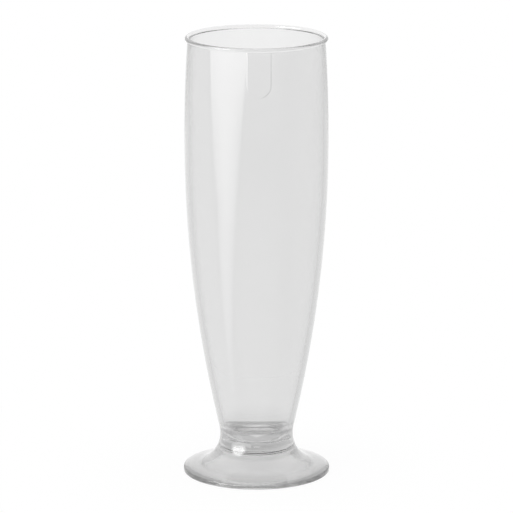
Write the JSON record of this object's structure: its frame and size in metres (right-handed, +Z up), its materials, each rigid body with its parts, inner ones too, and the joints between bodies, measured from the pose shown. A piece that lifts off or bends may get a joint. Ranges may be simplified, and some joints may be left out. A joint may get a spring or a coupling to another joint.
{
  "type": "plastic tulip glass",
  "caption": "Clear plastic tulip beer glass: a tall slim bowl with a beaded rim, whose base plugs into a hollow trumpet foot.",
  "frame": {"origin": "on the table plane, in the middle of the foot's ring", "axes": "+Z up along the axis of the glass, -Y towards the small panel under the rim"},
  "size_m": [0.0662, 0.0662, 0.2],
  "materials": {
    "bowl_plastic": "clear, polished moulding",
    "foot_plastic": "clear, polished moulding"
  },
  "bodies": {
    "foot": {"foot": "foot_plastic"},
    "bowl": {"bowl": "bowl_plastic"}
  },
  "joints": [
    {"name": "bowl_lift", "type": "slide", "parent": "foot", "child": "bowl", "axis": [0, 0, 1], "range_m": [0, 0.012]}
  ]
}
